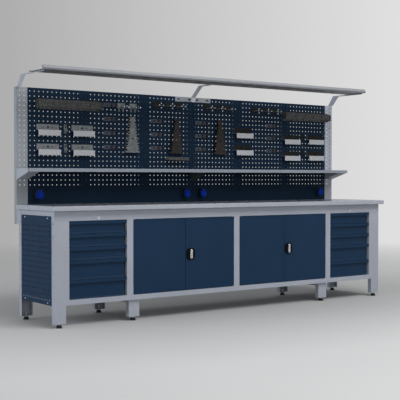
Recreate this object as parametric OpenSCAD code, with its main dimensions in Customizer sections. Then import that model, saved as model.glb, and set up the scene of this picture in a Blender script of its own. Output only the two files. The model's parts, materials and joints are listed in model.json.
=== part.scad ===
// Metal workbench with drawer cabinets, cupboards, a perforated back board, a shelf and a canopy.
// Frame: +X to the right, +Y to the back, +Z up. Origin on the floor, under the middle of the bench.

/* [Worktop] */
// Thickness of the worktop
worktop_t = 35; // [20:1:60]
// Height of the work surface above the floor
worktop_h = 875; // [780:1:1000]
// How far the worktop stands out in front of the frame
front_overhang = 47; // [20:1:70]
// How far the worktop stands out past the frame at each end
side_overhang = 23; // [10:1:60]

/* [Frame] */
// Depth of the leg frame, front face to back face
frame_d = 572; // [480:1:660]
// Width of a leg channel
leg_w = 93; // [80:1:100]
// Depth of a leg channel
leg_d = 40; // [34:1:48]
// Sheet thickness of the legs
leg_t = 3; // [2:0.5:5]
// Height of the front and rear top rails
top_rail_h = 38; // [30:1:60]
// Depth of the rail that carries the back board
rear_rail_d = 40; // [30:1:60]
// Height of the rail that carries the back board
rear_rail_h = 115; // [60:1:140]
// Sheet thickness of the rails
rail_t = 2; // [1.5:0.5:3]
// How far the middle stands are set back from the cabinet fronts
stand_setback = 20; // [10:1:40]
// Height of the cross beam of a middle stand
beam_h = 30; // [20:1:45]
// Clear height from the floor to the bottom of the legs
foot_h = 28; // [24:1:36]
// Radius of a foot at the floor
foot_r = 23; // [18:1:30]
// Radius of a foot at its neck
foot_neck_r = 14.5; // [12:0.5:17]

/* [Cabinets] */
// Width of one cupboard
cupboard_w = 1021; // [850:1:1180]
// Height of the cabinet bottoms above the floor
cab_bottom = 159; // [140:1:180]
// Sheet thickness of the cabinets
cab_t = 1.5; // [1:0.5:2.5]
// Width of the front strip beside a joint between cabinets
strip_joint = 28; // [20:1:36]
// Width of the front strip above the openings
strip_top = 35; // [32:1:44]
// Width of the front strip below the openings
strip_low = 38; // [28:1:48]
// Depth of the folded edge round an opening
strip_d = 30; // [22:1:36]

/* [Drawers] */
// Number of shallow drawers in a bank
shallow_n = 3; // [2:1:4]
// Number of deep drawers in a bank
deep_n = 2; // [1:1:2]
// Height of a shallow drawer's place, as a share of a deep one's
shallow_share = 0.681; // [0.6:0.01:0.8]
// Width of the side space that holds a runner
runner_space = 13; // [12:0.5:16]
// Height of the pull lip
lip_h = 24; // [18:1:30]
// Depth of the pull lip
lip_d = 18; // [14:1:24]
// Sheet thickness of the drawers
drawer_t = 1.5; // [1:0.5:2]

/* [Doors] */
// Depth of a door leaf
door_d = 20; // [16:1:24]
// Sheet thickness of a door leaf
door_t = 1.5; // [1:0.5:2.5]
// Gap round a door leaf
door_gap = 3; // [3:0.5:5]
// Radius of a hinge pin
pin_r = 2.5; // [2:0.5:3]
// Width of the handle plate
handle_w = 78; // [60:1:84]
// Height of the handle plate
handle_h = 90; // [80:1:110]

/* [Back board] */
// Spacing of the square holes
pitch = 38; // [36:0.5:41]
// Side of a square hole in the board
hole = 8; // [6:1:14]
// Side of a square hole in the end posts and side panels
side_hole = 10; // [6:1:14]
// Rows of holes in the back board
board_rows = 20; // [16:1:20]
// Height of the back board's top edge above the work surface
board_rise = 897; // [860:1:985]
// Sheet thickness of the boards
board_t = 1.5; // [1:0.5:2.5]
// Depth of the posts behind the back board
post_d = 40; // [32:1:55]

/* [Shelf and canopy] */
// Height of the shelf surface above the work surface
shelf_rise = 276; // [225:1:305]
// Depth of the shelf
shelf_d = 212; // [160:1:260]
// Height of the shelf's front lip
shelf_lip = 27; // [18:1:40]
// Height of the canopy's level sheet above the back board
canopy_lift = 93; // [75:1:195]
// Distance from the back board to the back edge of the canopy
canopy_back = 220; // [150:1:240]
// Depth of the canopy
canopy_d = 230; // [180:1:260]
// Height of the canopy's front
canopy_front = 34; // [28:1:52]

/* [Hidden] */
$fn = 32;

grey = [0.63, 0.65, 0.69];
pale = [0.70, 0.71, 0.73];
navy = [0.10, 0.19, 0.31];
black = [0.05, 0.05, 0.06];
silver = [0.75, 0.76, 0.78];
olive = [0.36, 0.36, 0.35];
blue = [0.05, 0.16, 0.62];

// Overrun of every cut
over = 1;
// Running clearance of pins and spindles in their holes
fit = 0.05;
// Clearance of pieces that slide or sit close to each other
seat = 0.3;

// Depth positions, from the worktop's front edge to the back of the posts
depth = front_overhang + frame_d + rear_rail_d + post_d;
front_y = -depth / 2;
face_y = front_y + front_overhang;
frame_back = face_y + frame_d;
board_y = frame_back + rear_rail_d;
back_overhang = 6;
worktop_d = front_overhang + frame_d + back_overhang;
cab_back_gap = 12;
cab_d = frame_d - cab_back_gap;

// Heights
worktop_low = worktop_h - worktop_t;
cab_top = worktop_low - top_rail_h;
board_top = worktop_h + board_rise;
shelf_h = worktop_h + shelf_rise;
canopy_h = board_top + canopy_lift;
open_low = cab_bottom + strip_low;
open_top = cab_top - strip_top;
cab_h = cab_top - cab_bottom;

// The board's hole columns set the width between the end legs, and so the width of the whole bench
edge_margin = 21;
middle_margin = 22;
outer_n = 13;
mid_n = 15;
half_n = 2 * outer_n + mid_n;
leg_in = edge_margin + half_n * pitch - pitch + middle_margin;
frame_w = 2 * (leg_in + leg_w);
worktop_w = frame_w + 2 * side_overhang;

// Width of a drawer cabinet, which fills the space from the cupboard to the end leg
drawer_cab_w = leg_in - cupboard_w;
drawer_open_w = drawer_cab_w - 2 * strip_joint;
drawer_mid_x = leg_in - drawer_cab_w / 2;
cupboard_open_w = cupboard_w - 2 * strip_joint;

// Drawers
drawer_gap = 3;
deep_place = (open_top - open_low) / (deep_n + shallow_n * shallow_share);
shallow_place = deep_place * shallow_share;
drawer_box_w = drawer_open_w - 2 * runner_space;
drawer_back_gap = 42;
drawer_l = cab_d - lip_d - drawer_back_gap;
box_drop = 34;
floor_lift = 8;
flare_h = 9;
flare_d = 8;
slide_h = 15.4;
slide_w = 7;
runner_wall = 2;
runner_in = slide_h + 2 * seat;
runner_h = runner_in + 2 * runner_wall;
runner_mouth = 1.5;
runner_w = runner_space - runner_mouth - runner_wall;
runner_gap = 4;
runner_start = strip_d + runner_gap;
runner_short = 20;
runner_l = drawer_l - runner_short;
lug_l = 40;
lug_inset = 60;

// Doors
leaf_w = (cupboard_open_w - 3 * door_gap) / 2;
leaf_h = open_top - open_low - 2 * door_gap;
pin_offset = 6;
pin_block = 14;
pin_l = 12;
washer_r = 5;
handle_seam = 47;
handle_share = 0.5;
handle_round = 26;
plate_d = 8;
lever_w = 21;
lever_h = 74;
lever_d = 7;
spindle_r = 7;
spindle_room = 3;
cam_w = 18;
cam_l = 42;
cam_t = 3;
cam_gap = 4;

// Shelves inside the cupboards
inner_shelf_share = 0.5;
inner_shelf_t = 15;
shelf_ledge = 16;
shelf_depth_gap = 40;

// Drawer locks
lock_r = 8;
lock_cap_r = 10;
lock_cap_t = 1.5;
lock_l = 24;
lock_cam_l = 13;
lock_cam_w = 8;
key_w = 2;
key_h = 9;

// Back board
board_lift = 6;
board_low = worktop_low + board_lift;
panel_fold = 15;
top_margin = 26.5;
upright_w = 70;
panel_gap = 0.4;
first_row = board_top - top_margin;
seam_1 = edge_margin + outer_n * pitch - pitch / 2;
seam_2 = seam_1 + mid_n * pitch;

// Side panels
side_low = 36;
end_rail_h = 80;
end_rail_low_h = 40;
end_rail_lift = 1;
end_rail_d = 30;
side_len = frame_d - 2 * leg_d - 2 * seat;
side_cols = floor(side_len / pitch);
side_rows = floor((cab_h - side_low) / pitch);
side_screw_y_share = 0.373;
side_screw_drop = 16;

// Leg slots
slot_w = 8;
slot_h = 14;
slot_top = 93;
slot_pitch = 95;

// Feet
nut_h = 6;
nut_r = 10;
stud_r = 5;
stud_l = 30;

// Shelf and brackets
shelf_t = 2;
lip_fold = 12;
bracket_low = 85;
centre_bracket_w = 78;
centre_bracket_d = 130;
centre_bracket_low = 100;
bracket_t = 2;
bracket_nose = 25;

// Canopy
canopy_t = 2;
canopy_lip = 14;
canopy_hem = 10;
canopy_bend = 12.5;
canopy_lean = 12;
canopy_tuck = 9;
arm_t = 3;
arm_tail = 100;
arm_inset = 20;
arm_base_front = 34;
arm_base_back = 31;
arm_knee = 38;
arm_knee_low = 112;
arm_level_h = 10;
arm_reach = 200;
arm_mid_reach = 60;
arm_bar_t = 6;
arm_mid_w = 42;
arm_mid_knee = 115;

// Centre plate
centre_plate_w = 374;
centre_plate_h = 41;
centre_plate_t = 2.5;
centre_slot_h = 12;
centre_slot_w = 30;
centre_slot_x = [-150, -37, 45, 150];

// Sockets
socket_rise = 70;
socket_h = worktop_h + socket_rise;
socket_w = 54;
socket_body_h = 62;
socket_neck_w = 40;
socket_neck_h = 42;
socket_d = 38;
socket_round = 12;
well_r = 24;
well_d = 24;
socket_pin_r = 2.4;
socket_pin_x = 9.5;
socket_pin_d = 8;
lid_r = 31;
lid_t = 7;
lid_gap = 0.5;
lid_axis_up = 36;
knuckle_r = 5;
lid_pin_r = 2;
knuckle_w = 26;
ear_w = 5;
ear_gap = 0.6;
neck_w = 20;

// Tool holders on the back board
holder_t = 2;
comb_w_share = 14.87;
comb_w = comb_w_share * pitch;
comb_d = 62;
comb_back_h = 78;
comb_bar_h = 52;
comb_row_share = 2.46;
comb_h = first_row - comb_row_share * pitch;
comb_slot_n = 5;
comb_slot_w = 9;
comb_slot_lean = 22;
tray_w = 192;
tray_plate_h = 44;
tray_d = 35;
tray_face_h = 45;
tray_notch_n = 7;
tray_notch_w = 8;
tray_notch_h = 3;
tray_hole_r = 6;
tray_hole_n = 6;
tray_eye_r = 5;
tray_pin_r = 3;
clip_w = 31;
clip_eye = 36;
clip_plate = 72;
clip_jaw = 50;
clip_d = 30;
clip_pinch = 6;
hook_w = 24;
hook_h = 68;
hook_reach = 34;
twin_w = 74;
twin_h = 44;
twin_low = 5;
twin_leg_w = 15;
twin_leg_h = 27;
twin_peg_r = 4;
twin_tip_r = 3.6;
twin_reach = 85;
twin_tip = 8;
twin_peg_x = 19;
spanner_top_w = 44;
spanner_low_w = 136;
spanner_h = 294;
spanner_row_share = 12.1;
spanner_low = first_row - spanner_row_share * pitch;
spanner_d = 30;
spanner_eye_r = 7;
spanner_eye_h = 114;
spanner_teeth_n = 12;
tooth_h = 11;
tooth_d = 13;
ledge_w = 215;
ledge_h = 25;
ledge_back_h = 29;
ledge_d = 42;
ledge_col_share = 35.95;
ledge_row_share = 13.62;

// Places in hole spacings: column from the outer edge of the left half (-1) or from the middle (1),
// and row from the top
tray_place_shares = [[4, 7.18, -1], [12, 7.18, -1], [4, 11.18, -1], [12, 11.18, -1], [14, 6.48, 1],
  [14, 10.48, 1], [29, 7.58, 1], [29, 11.58, 1], [37, 7.48, 1], [37, 11.48, 1]];
clip_place_shares = [[18, 2, -1], [18, 5, -1], [18, 8, -1], [18, 11, -1], [30, 5, -1], [30, 8, -1],
  [30, 11, -1], [1, 5, 1], [1, 8, 1], [1, 11, 1], [22, 5, 1], [22, 8, 1], [22, 11, 1]];
hook_place_shares = [[8, 7, -1], [8, 11, -1], [33, 7, 1], [33, 11, 1]];
twin_place_shares = [[21.5, 2.5, -1], [24.5, 2.5, -1], [30.5, 1.7, -1], [33.5, 1.7, -1], [36.5, 1.7, -1],
  [3.5, 1.7, 1], [6.5, 1.7, 1], [9.5, 1.7, 1], [17.5, 1.7, 1], [20.5, 1.7, 1], [23.5, 1.7, 1]];
spanner_place_shares = [[24, -1], [35.65, -1], [6.7, 1]];
comb_place_shares = [[1.24, -1], [26.2, 1]];
socket_place_shares = [[1.66, -1], [38.24, -1], [1.6, 1], [38.1, 1]];

// Screws
screw_r = 5;
screw_head = 2.6;
shank_r = 2.5;
shank_hole_r = 2.8;
shank_l = 9;

// Place of a hole column: side -1 is the left half of the board and 1 the right half
function col_x(c, side) = (side < 0 ? edge_margin - leg_in : middle_margin) + c * pitch;
function row_z(r) = first_row - r * pitch;
// Top of a drawer's place, counted from the top of the bank
function place_h(i) = i < shallow_n ? shallow_place : deep_place;
function place_top(i) = i == 0 ? open_top : place_top(i - 1) - place_h(i - 1);

// A box from its lowest corner
module box(x, y, z, w, d, h) {
  translate([x, y, z]) cube([w, d, h]);
}

// A plate in the XZ plane whose front face is at y and which is t thick towards the back
module upright_plate(y, t) {
  translate([0, y + t, 0]) rotate([90, 0, 0]) linear_extrude(t) children();
}

// A rectangle with round corners, centred
module rounded(w, h, r) {
  square([w - 2 * r, h], center = true);
  square([w, h - 2 * r], center = true);
  for (sx = [-1, 1], sz = [-1, 1])
    translate([sx * (w / 2 - r), sz * (h / 2 - r)]) circle(r);
}

// A profile in the YZ plane, extruded along X from x for a width of w
module along_x(x, w) {
  translate([x, 0, 0]) rotate([90, 0, 90]) linear_extrude(w) children();
}

// A round bar along Y from y for a length of l
module bar_y(x, y, z, r, l) {
  translate([x, y + l, z]) rotate([90, 0, 0]) cylinder(h = l, r = r);
}

// Square holes of the perforated sheets, centred on their places
module hole_grid(x, z, cols, rows, side) {
  for (c = [0 : cols - 1], r = [0 : rows - 1])
    translate([x + c * pitch, z - r * pitch]) square(side, center = true);
}

// An upright channel, open to the back (turn 1) or to the front (turn -1); y is the web's outer face
module channel(x, y, z, w, d, t, h, turn) {
  box(x, turn > 0 ? y : y - t, z, w, t, h);
  for (fx = [x, x + w - t])
    box(fx, turn > 0 ? y : y - d, z, t, d, h);
}

// Worktop

module worktop() {
  color(pale) box(-worktop_w / 2, front_y, worktop_low, worktop_w, worktop_d, worktop_t);
}

// Leg frame

module leg(side, y, turn) {
  x = side < 0 ? -frame_w / 2 : leg_in;
  flange_x = side < 0 ? x - over : x + leg_w - leg_t - over;
  difference() {
    union() {
      channel(x, y, foot_h, leg_w, leg_d, leg_t, worktop_low - foot_h, turn);
      box(x, turn > 0 ? y : y - leg_d, foot_h, leg_w, leg_d, leg_t);
    }
    translate([x + leg_w / 2, y + turn * leg_d / 2, foot_h - over])
      cylinder(h = leg_t + 2 * over, r = stud_r + seat);
    for (i = [0, 1])
      box(flange_x, y + turn * leg_d / 2 - slot_w / 2, worktop_low - slot_top - slot_h / 2 - i * slot_pitch,
        leg_t + 2 * over, slot_w, slot_h);
  }
}

module front_legs() {
  color(grey) for (side = [-1, 1]) leg(side, face_y, 1);
}

module rear_legs() {
  color(grey) for (side = [-1, 1]) leg(side, frame_back, -1);
}

module top_rails() {
  color(grey) {
    channel_rail(face_y, 1);
    channel_rail(frame_back, -1);
  }
}

// A rail that lies between the end legs, on top of the cabinets
module channel_rail(y, turn) {
  w = 2 * leg_in;
  box(-leg_in, turn > 0 ? y : y - rail_t, cab_top, w, rail_t, top_rail_h);
  for (z = [cab_top, worktop_low - rail_t])
    box(-leg_in, turn > 0 ? y : y - leg_d, z, w, leg_d, rail_t);
}

module rear_rail() {
  z = worktop_low - rear_rail_h;
  color(grey) {
    box(-frame_w / 2, board_y - rail_t, z, frame_w, rail_t, rear_rail_h);
    for (fz = [z, worktop_low - rail_t])
      box(-frame_w / 2, frame_back, fz, frame_w, rear_rail_d, rail_t);
    for (x = [-frame_w / 2, frame_w / 2 - rail_t])
      box(x, frame_back, z, rail_t, rear_rail_d, rear_rail_h);
  }
}

// A stand has a short leg at the front and one at the back, joined by a beam under the cabinets
module stand(side) {
  x = side < 0 ? -cupboard_w : cupboard_w - leg_w;
  fy = face_y + stand_setback;
  leg_h = cab_bottom - foot_h;
  difference() {
    union() {
      channel(x, fy, foot_h, leg_w, leg_d, leg_t, leg_h, 1);
      channel(x, frame_back, foot_h, leg_w, leg_d, leg_t, leg_h, -1);
      for (y = [fy, frame_back - leg_d], z = [foot_h, cab_bottom - leg_t])
        box(x, y, z, leg_w, leg_d, leg_t);
      box(x + leg_w / 2 - leg_d / 2, fy + leg_d - leg_t, cab_bottom - beam_h,
        leg_d, frame_back - fy - 2 * leg_d + 2 * leg_t, beam_h);
    }
    for (y = [fy + leg_d / 2, frame_back - leg_d / 2])
      translate([x + leg_w / 2, y, foot_h - over]) cylinder(h = leg_t + 2 * over, r = stud_r + seat);
    box(x + leg_w / 2 - leg_d / 2 + leg_t, fy + leg_d - leg_t - over, cab_bottom - beam_h + leg_t,
      leg_d - 2 * leg_t, frame_back - fy - 2 * leg_d + 2 * leg_t + 2 * over, beam_h - 2 * leg_t);
  }
}

module middle_stands() {
  color(grey) for (side = [-1, 1]) stand(side);
}

module foot(x, y) {
  cone_h = foot_h - nut_h;
  translate([x, y, 0]) {
    cylinder(h = cone_h, r1 = foot_r, r2 = foot_neck_r);
    translate([0, 0, cone_h]) cylinder(h = nut_h, r = nut_r, $fn = 6);
    translate([0, 0, foot_h]) cylinder(h = stud_l, r = stud_r);
  }
}

module levelling_feet() {
  color(black) for (side = [-1, 1]) {
    for (y = [face_y + leg_d / 2, frame_back - leg_d / 2])
      foot(side * (frame_w / 2 - leg_w / 2), y);
    for (y = [face_y + stand_setback + leg_d / 2, frame_back - leg_d / 2])
      foot(side * (cupboard_w - leg_w / 2), y);
  }
}

// Ends of the bench

module end_rail(side, z, h) {
  x = side < 0 ? -frame_w / 2 + board_t : frame_w / 2 - board_t - rail_t;
  fold_x = side < 0 ? x : x + rail_t - end_rail_d;
  y = face_y + leg_d;
  l = frame_d - 2 * leg_d;
  difference() {
    union() {
      box(x, y, z, rail_t, l, h);
      for (fz = [z, z + h - rail_t])
        box(fold_x, y, fz, end_rail_d, l, rail_t);
    }
    side_screws(side, shank_hole_r);
  }
}

// The four screw places of a side panel, as round bars along X
module side_screws(side, r) {
  mid = face_y + frame_d / 2;
  dy = (frame_d - 2 * leg_d) * side_screw_y_share;
  for (sy = [-1, 1], z = [cab_bottom + side_screw_drop, cab_top - side_screw_drop])
    translate([side * (frame_w / 2 + over), mid + sy * dy, z]) rotate([0, -side * 90, 0])
      cylinder(h = shank_l + 2 * over, r = r);
}

module end_rails() {
  color(grey) for (side = [-1, 1]) {
    end_rail(side, worktop_low - end_rail_h, end_rail_h);
    end_rail(side, cab_bottom + end_rail_lift, end_rail_low_h);
  }
}

module side_panels() {
  mid = face_y + frame_d / 2;
  first_y = mid - (side_cols - 1) / 2 * pitch;
  side_first_row = cab_bottom + side_low + (side_rows - 1) * pitch;
  color(navy) for (side = [-1, 1])
    difference() {
      translate([side < 0 ? -frame_w / 2 : frame_w / 2 - board_t, 0, 0]) rotate([90, 0, 90])
        linear_extrude(board_t) difference() {
          translate([mid - side_len / 2, cab_bottom]) square([side_len, cab_h]);
          hole_grid(first_y, side_first_row, side_cols, side_rows, side_hole);
        }
      side_screws(side, shank_hole_r);
    }
}

// Cabinets: a sheet case with a back, a front frame and a folded edge round the opening
module cabinet_case(x, w) {
  iw = w - 2 * strip_joint;
  ih = open_top - open_low;
  difference() {
    box(x, face_y, cab_bottom, w, cab_d, cab_h);
    box(x + cab_t, face_y + cab_t, cab_bottom + cab_t, w - 2 * cab_t, cab_d - 2 * cab_t, cab_h - 2 * cab_t);
    box(x + strip_joint, face_y - over, open_low, iw, cab_t + 2 * over, ih);
  }
  difference() {
    box(x + strip_joint - cab_t, face_y, open_low - cab_t, iw + 2 * cab_t, strip_d, ih + 2 * cab_t);
    box(x + strip_joint, face_y - over, open_low, iw, strip_d + 2 * over, ih);
  }
}

// A drawer cabinet, with the hole for its lock in the top strip
module drawer_cabinet(side) {
  color(grey) difference() {
    cabinet_case(side < 0 ? -leg_in : cupboard_w, drawer_cab_w);
    bar_y(side * drawer_mid_x, face_y - over, lock_z, lock_r + fit, cab_t + 2 * over);
  }
}
lock_z = open_top + strip_top / 2;

module left_drawer_cabinet() { drawer_cabinet(-1); }

module right_drawer_cabinet() { drawer_cabinet(1); }

// A cupboard, with a ledge on each side wall for its shelf
module cupboard(x) {
  z = open_low + (open_top - open_low) * inner_shelf_share - inner_shelf_t - cab_t;
  color(grey) {
    cabinet_case(x, cupboard_w);
    for (lx = [x + cab_t, x + cupboard_w - cab_t - shelf_ledge])
      box(lx, face_y + shelf_depth_gap, z, shelf_ledge, cab_d - shelf_depth_gap - cab_t, cab_t);
  }
}

module left_cupboard() { cupboard(-cupboard_w); }

module right_cupboard() { cupboard(0); }

module cupboard_shelves() {
  z = open_low + (open_top - open_low) * inner_shelf_share - inner_shelf_t;
  w = cupboard_w - 2 * cab_t - 2 * seat;
  d = cab_d - shelf_depth_gap - cab_t - seat;
  color(pale) for (x = [-cupboard_w, 0]) difference() {
    box(x + cab_t + seat, face_y + shelf_depth_gap, z, w, d, inner_shelf_t);
    box(x + cab_t + seat + cab_t, face_y + shelf_depth_gap + cab_t, z + cab_t - inner_shelf_t,
      w - 2 * cab_t, d - 2 * cab_t, inner_shelf_t);
    // The rims at the sides stop at the ledges
    for (lx = [x + cab_t + seat - over, x + cupboard_w - cab_t - seat - cab_t])
      box(lx, face_y + shelf_depth_gap - over, z - over, cab_t + over, cab_t, over);
  }
}

// Drawers: a folded front with a pull lip, and a sheet box with a slide on each side
module drawer(side, i) {
  top = place_top(i) - drawer_gap / 2;
  low = place_top(i) - place_h(i) + drawer_gap / 2;
  x = side * drawer_mid_x;
  back = face_y + lip_d;
  lip_w = drawer_open_w - drawer_gap;
  box_h = top - low - box_drop;
  color(navy) {
    along_x(x - lip_w / 2, lip_w) polygon([[back + drawer_t, top], [face_y, top], [face_y, top - lip_h],
      [face_y + drawer_t, top - lip_h], [face_y + drawer_t, top - drawer_t],
      [back + drawer_t, top - drawer_t]]);
    along_x(x - drawer_box_w / 2, drawer_box_w) polygon([[back, top - drawer_t], [back, low + flare_h],
      [back - flare_d, low + drawer_t], [back - flare_d, low], [back + drawer_t, low],
      [back + drawer_t, top - drawer_t]]);
    difference() {
      box(x - drawer_box_w / 2, back, low + floor_lift, drawer_box_w, drawer_l, box_h);
      box(x - drawer_box_w / 2 + drawer_t, back + drawer_t, low + floor_lift + drawer_t,
        drawer_box_w - 2 * drawer_t, drawer_l - 2 * drawer_t, box_h);
    }
    for (s = [-1, 1])
      box(s < 0 ? x - drawer_box_w / 2 - slide_w : x + drawer_box_w / 2 - drawer_t, face_y + runner_start,
        slide_z(i), slide_w + drawer_t, runner_l, slide_h);
  }
}
// Low edge of a drawer's slide
function slide_z(i) = place_top(i) - place_h(i) + drawer_gap / 2 + floor_lift + slide_h / 2;

module left_drawer_1() { drawer(-1, 0); }

module left_drawer_2() { drawer(-1, 1); }

module left_drawer_3() { drawer(-1, 2); }

module left_drawer_4() { drawer(-1, 3); }

module left_drawer_5() { drawer(-1, 4); }

module right_drawer_1() { drawer(1, 0); }

module right_drawer_2() { drawer(1, 1); }

module right_drawer_3() { drawer(1, 2); }

module right_drawer_4() { drawer(1, 3); }

module right_drawer_5() { drawer(1, 4); }

// A runner is a channel that a drawer's slide runs in, on two lugs that reach the cabinet's wall
module runner(side, i, hand) {
  x = side * drawer_mid_x;
  z = slide_z(i) - seat - runner_wall;
  inner = drawer_box_w / 2 + runner_mouth;
  wall = drawer_cab_w / 2 - cab_t;
  translate([x, face_y + runner_start, z]) mirror([hand < 0 ? 1 : 0, 0, 0]) {
    difference() {
      box(inner, 0, 0, runner_w + runner_wall, runner_l, runner_h);
      box(inner - over, -over, runner_wall, runner_w + over, runner_l + 2 * over, runner_in);
    }
    for (y = [lug_inset, runner_l - lug_inset - lug_l])
      box(inner + runner_w, y, 0, wall - inner - runner_w, lug_l, runner_h);
  }
}

module drawer_runners() {
  color(silver) for (side = [-1, 1], i = [0 : shallow_n + deep_n - 1], hand = [-1, 1])
    runner(side, i, hand);
}

// Doors: hinge is -1 for a leaf hinged at its left edge and 1 for one hinged at its right edge
function leaf_x(cupboard, hinge) = cupboard + strip_joint + door_gap + (hinge < 0 ? 0 : leaf_w + door_gap);
function pin_x(cupboard, hinge) = leaf_x(cupboard, hinge) + (hinge < 0 ? pin_offset : leaf_w - pin_offset);
door_low = open_low + door_gap;
handle_z = open_low + (open_top - open_low) * handle_share;
function handle_x(cupboard) = cupboard + strip_joint + door_gap + leaf_w + door_gap / 2 + handle_seam;

module leaf(cupboard, hinge, handled) {
  x = leaf_x(cupboard, hinge);
  block_x = hinge < 0 ? x : x + leaf_w - pin_block;
  color(navy) difference() {
    union() {
      difference() {
        box(x, face_y, door_low, leaf_w, door_d, leaf_h);
        box(x + door_t, face_y + door_t, door_low + door_t, leaf_w - 2 * door_t, door_d,
          leaf_h - 2 * door_t);
      }
      for (z = [door_low, door_low + leaf_h - pin_l - pin_offset])
        box(block_x, face_y, z, pin_block, pin_block, pin_l + pin_offset);
    }
    for (z = [door_low - over, door_low + leaf_h - pin_l - seat])
      translate([pin_x(cupboard, hinge), face_y + pin_offset, z])
        cylinder(h = pin_l + seat + over, r = pin_r + fit);
    if (handled)
      bar_y(handle_x(cupboard), face_y - over, handle_z, spindle_r + spindle_room, door_t + 2 * over);
  }
}

module left_door_a() { leaf(-cupboard_w, -1, false); }

module left_door_b() { leaf(-cupboard_w, 1, true); }

module right_door_a() { leaf(0, -1, false); }

module right_door_b() { leaf(0, 1, true); }

// A hinge pin has a washer that lies on the frame and holds the leaf off it
module hinge_pin(cupboard, hinge, up) {
  washer_h = door_gap - seat;
  translate([pin_x(cupboard, hinge), face_y + pin_offset, up > 0 ? open_low : open_top])
    mirror([0, 0, up > 0 ? 0 : 1]) {
      cylinder(h = washer_h, r = washer_r);
      translate([0, 0, washer_h]) cylinder(h = pin_l, r = pin_r);
    }
}

module hinge_pins() {
  color(silver) for (cupboard = [-cupboard_w, 0], hinge = [-1, 1], up = [-1, 1])
    hinge_pin(cupboard, hinge, up);
}

module handle_plate(cupboard) {
  color(black) translate([handle_x(cupboard), 0, handle_z])
    difference() {
      upright_plate(face_y - plate_d, plate_d) rounded(handle_w, handle_h, handle_round);
      bar_y(0, face_y - plate_d - over, 0, spindle_r + fit, plate_d + 2 * over);
    }
}

module left_handle_plate() { handle_plate(-cupboard_w); }

module right_handle_plate() { handle_plate(0); }

// The turning handle, its spindle through the door and the cam behind the door's sheet
module turning_handle(cupboard) {
  y = face_y - plate_d - seat - lever_d;
  spindle_l = seat + plate_d + door_t + cam_gap + cam_t;
  color(silver) translate([handle_x(cupboard), 0, handle_z]) {
    upright_plate(y, lever_d) rounded(lever_w, lever_h, lever_w / 2 - seat);
    bar_y(0, y + lever_d, 0, spindle_r, spindle_l);
    upright_plate(face_y + door_t + cam_gap, cam_t) translate([0, cam_l / 2 - cam_w / 2])
      rounded(cam_w, cam_l, cam_w / 2 - seat);
  }
}

module left_handle() { turning_handle(-cupboard_w); }

module right_handle() { turning_handle(0); }

// A lock cylinder in the strip above a drawer bank, with a key slot and a cam behind the strip
module drawer_lock(side) {
  y = face_y - seat - lock_cap_t;
  color(silver) translate([side * drawer_mid_x, 0, lock_z]) difference() {
    union() {
      bar_y(0, y, 0, lock_cap_r, lock_cap_t);
      bar_y(0, y, 0, lock_r, lock_l);
      box(-lock_cam_w / 2, y + lock_l - cam_t, 0, lock_cam_w, cam_t, lock_cam_l);
    }
    box(-key_w / 2, y - over, -key_h / 2, key_w, key_h, key_h);
  }
}

module left_drawer_lock() { drawer_lock(-1); }

module right_drawer_lock() { drawer_lock(1); }

// Posts and uprights behind the back board

module end_posts() {
  z = worktop_low - rear_rail_h;
  color(grey) for (side = [-1, 1]) {
    x = side < 0 ? -frame_w / 2 : leg_in;
    upright_plate(board_y, rail_t) difference() {
      translate([x, z]) square([leg_w, board_top - z]);
      hole_grid(x + leg_w / 2 - pitch / 2, first_row, 2, board_rows, side_hole);
    }
    for (fx = [x, x + leg_w - rail_t])
      box(fx, board_y, z, rail_t, post_d, board_top - z);
  }
}

// Uprights behind the seams of the panels, with a foot pad against the rear rail
module rear_uprights() {
  z = worktop_low - rear_rail_h;
  seams = [seam_1 - leg_in, seam_2 - leg_in, 0, leg_in - seam_2, leg_in - seam_1];
  color(grey) for (x = seams) {
    channel(x - upright_w / 2, board_y + panel_fold, z, upright_w, post_d - panel_fold, rail_t,
      board_top - z, 1);
    box(x - upright_w / 2, board_y, z, upright_w, panel_fold, board_low - z - panel_gap);
  }
}

// A perforated panel with a folded edge all round; x is its left edge and first its first column
module board_panel(x, w, first, cols) {
  pw = w - panel_gap;
  px = x + panel_gap / 2;
  h = board_top - board_low;
  color(navy) {
    upright_plate(board_y, board_t) difference() {
      translate([px, board_low]) square([pw, h]);
      hole_grid(first, first_row, cols, board_rows, hole);
    }
    for (fx = [px, px + pw - board_t])
      box(fx, board_y, board_low, board_t, panel_fold, h);
    for (fz = [board_low, board_top - board_t])
      box(px, board_y, fz, pw, panel_fold, board_t);
  }
}

module board_panel_1() { board_panel(-leg_in, seam_1, col_x(0, -1), outer_n); }

module board_panel_2() { board_panel(seam_1 - leg_in, seam_2 - seam_1, col_x(outer_n, -1), mid_n); }

module board_panel_3() {
  board_panel(seam_2 - leg_in, leg_in - seam_2, col_x(outer_n + mid_n, -1), outer_n);
}

module board_panel_4() { board_panel(0, leg_in - seam_2, col_x(0, 1), outer_n); }

module board_panel_5() { board_panel(leg_in - seam_2, seam_2 - seam_1, col_x(outer_n, 1), mid_n); }

module board_panel_6() { board_panel(leg_in - seam_1, seam_1, col_x(outer_n + mid_n, 1), outer_n); }

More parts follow.
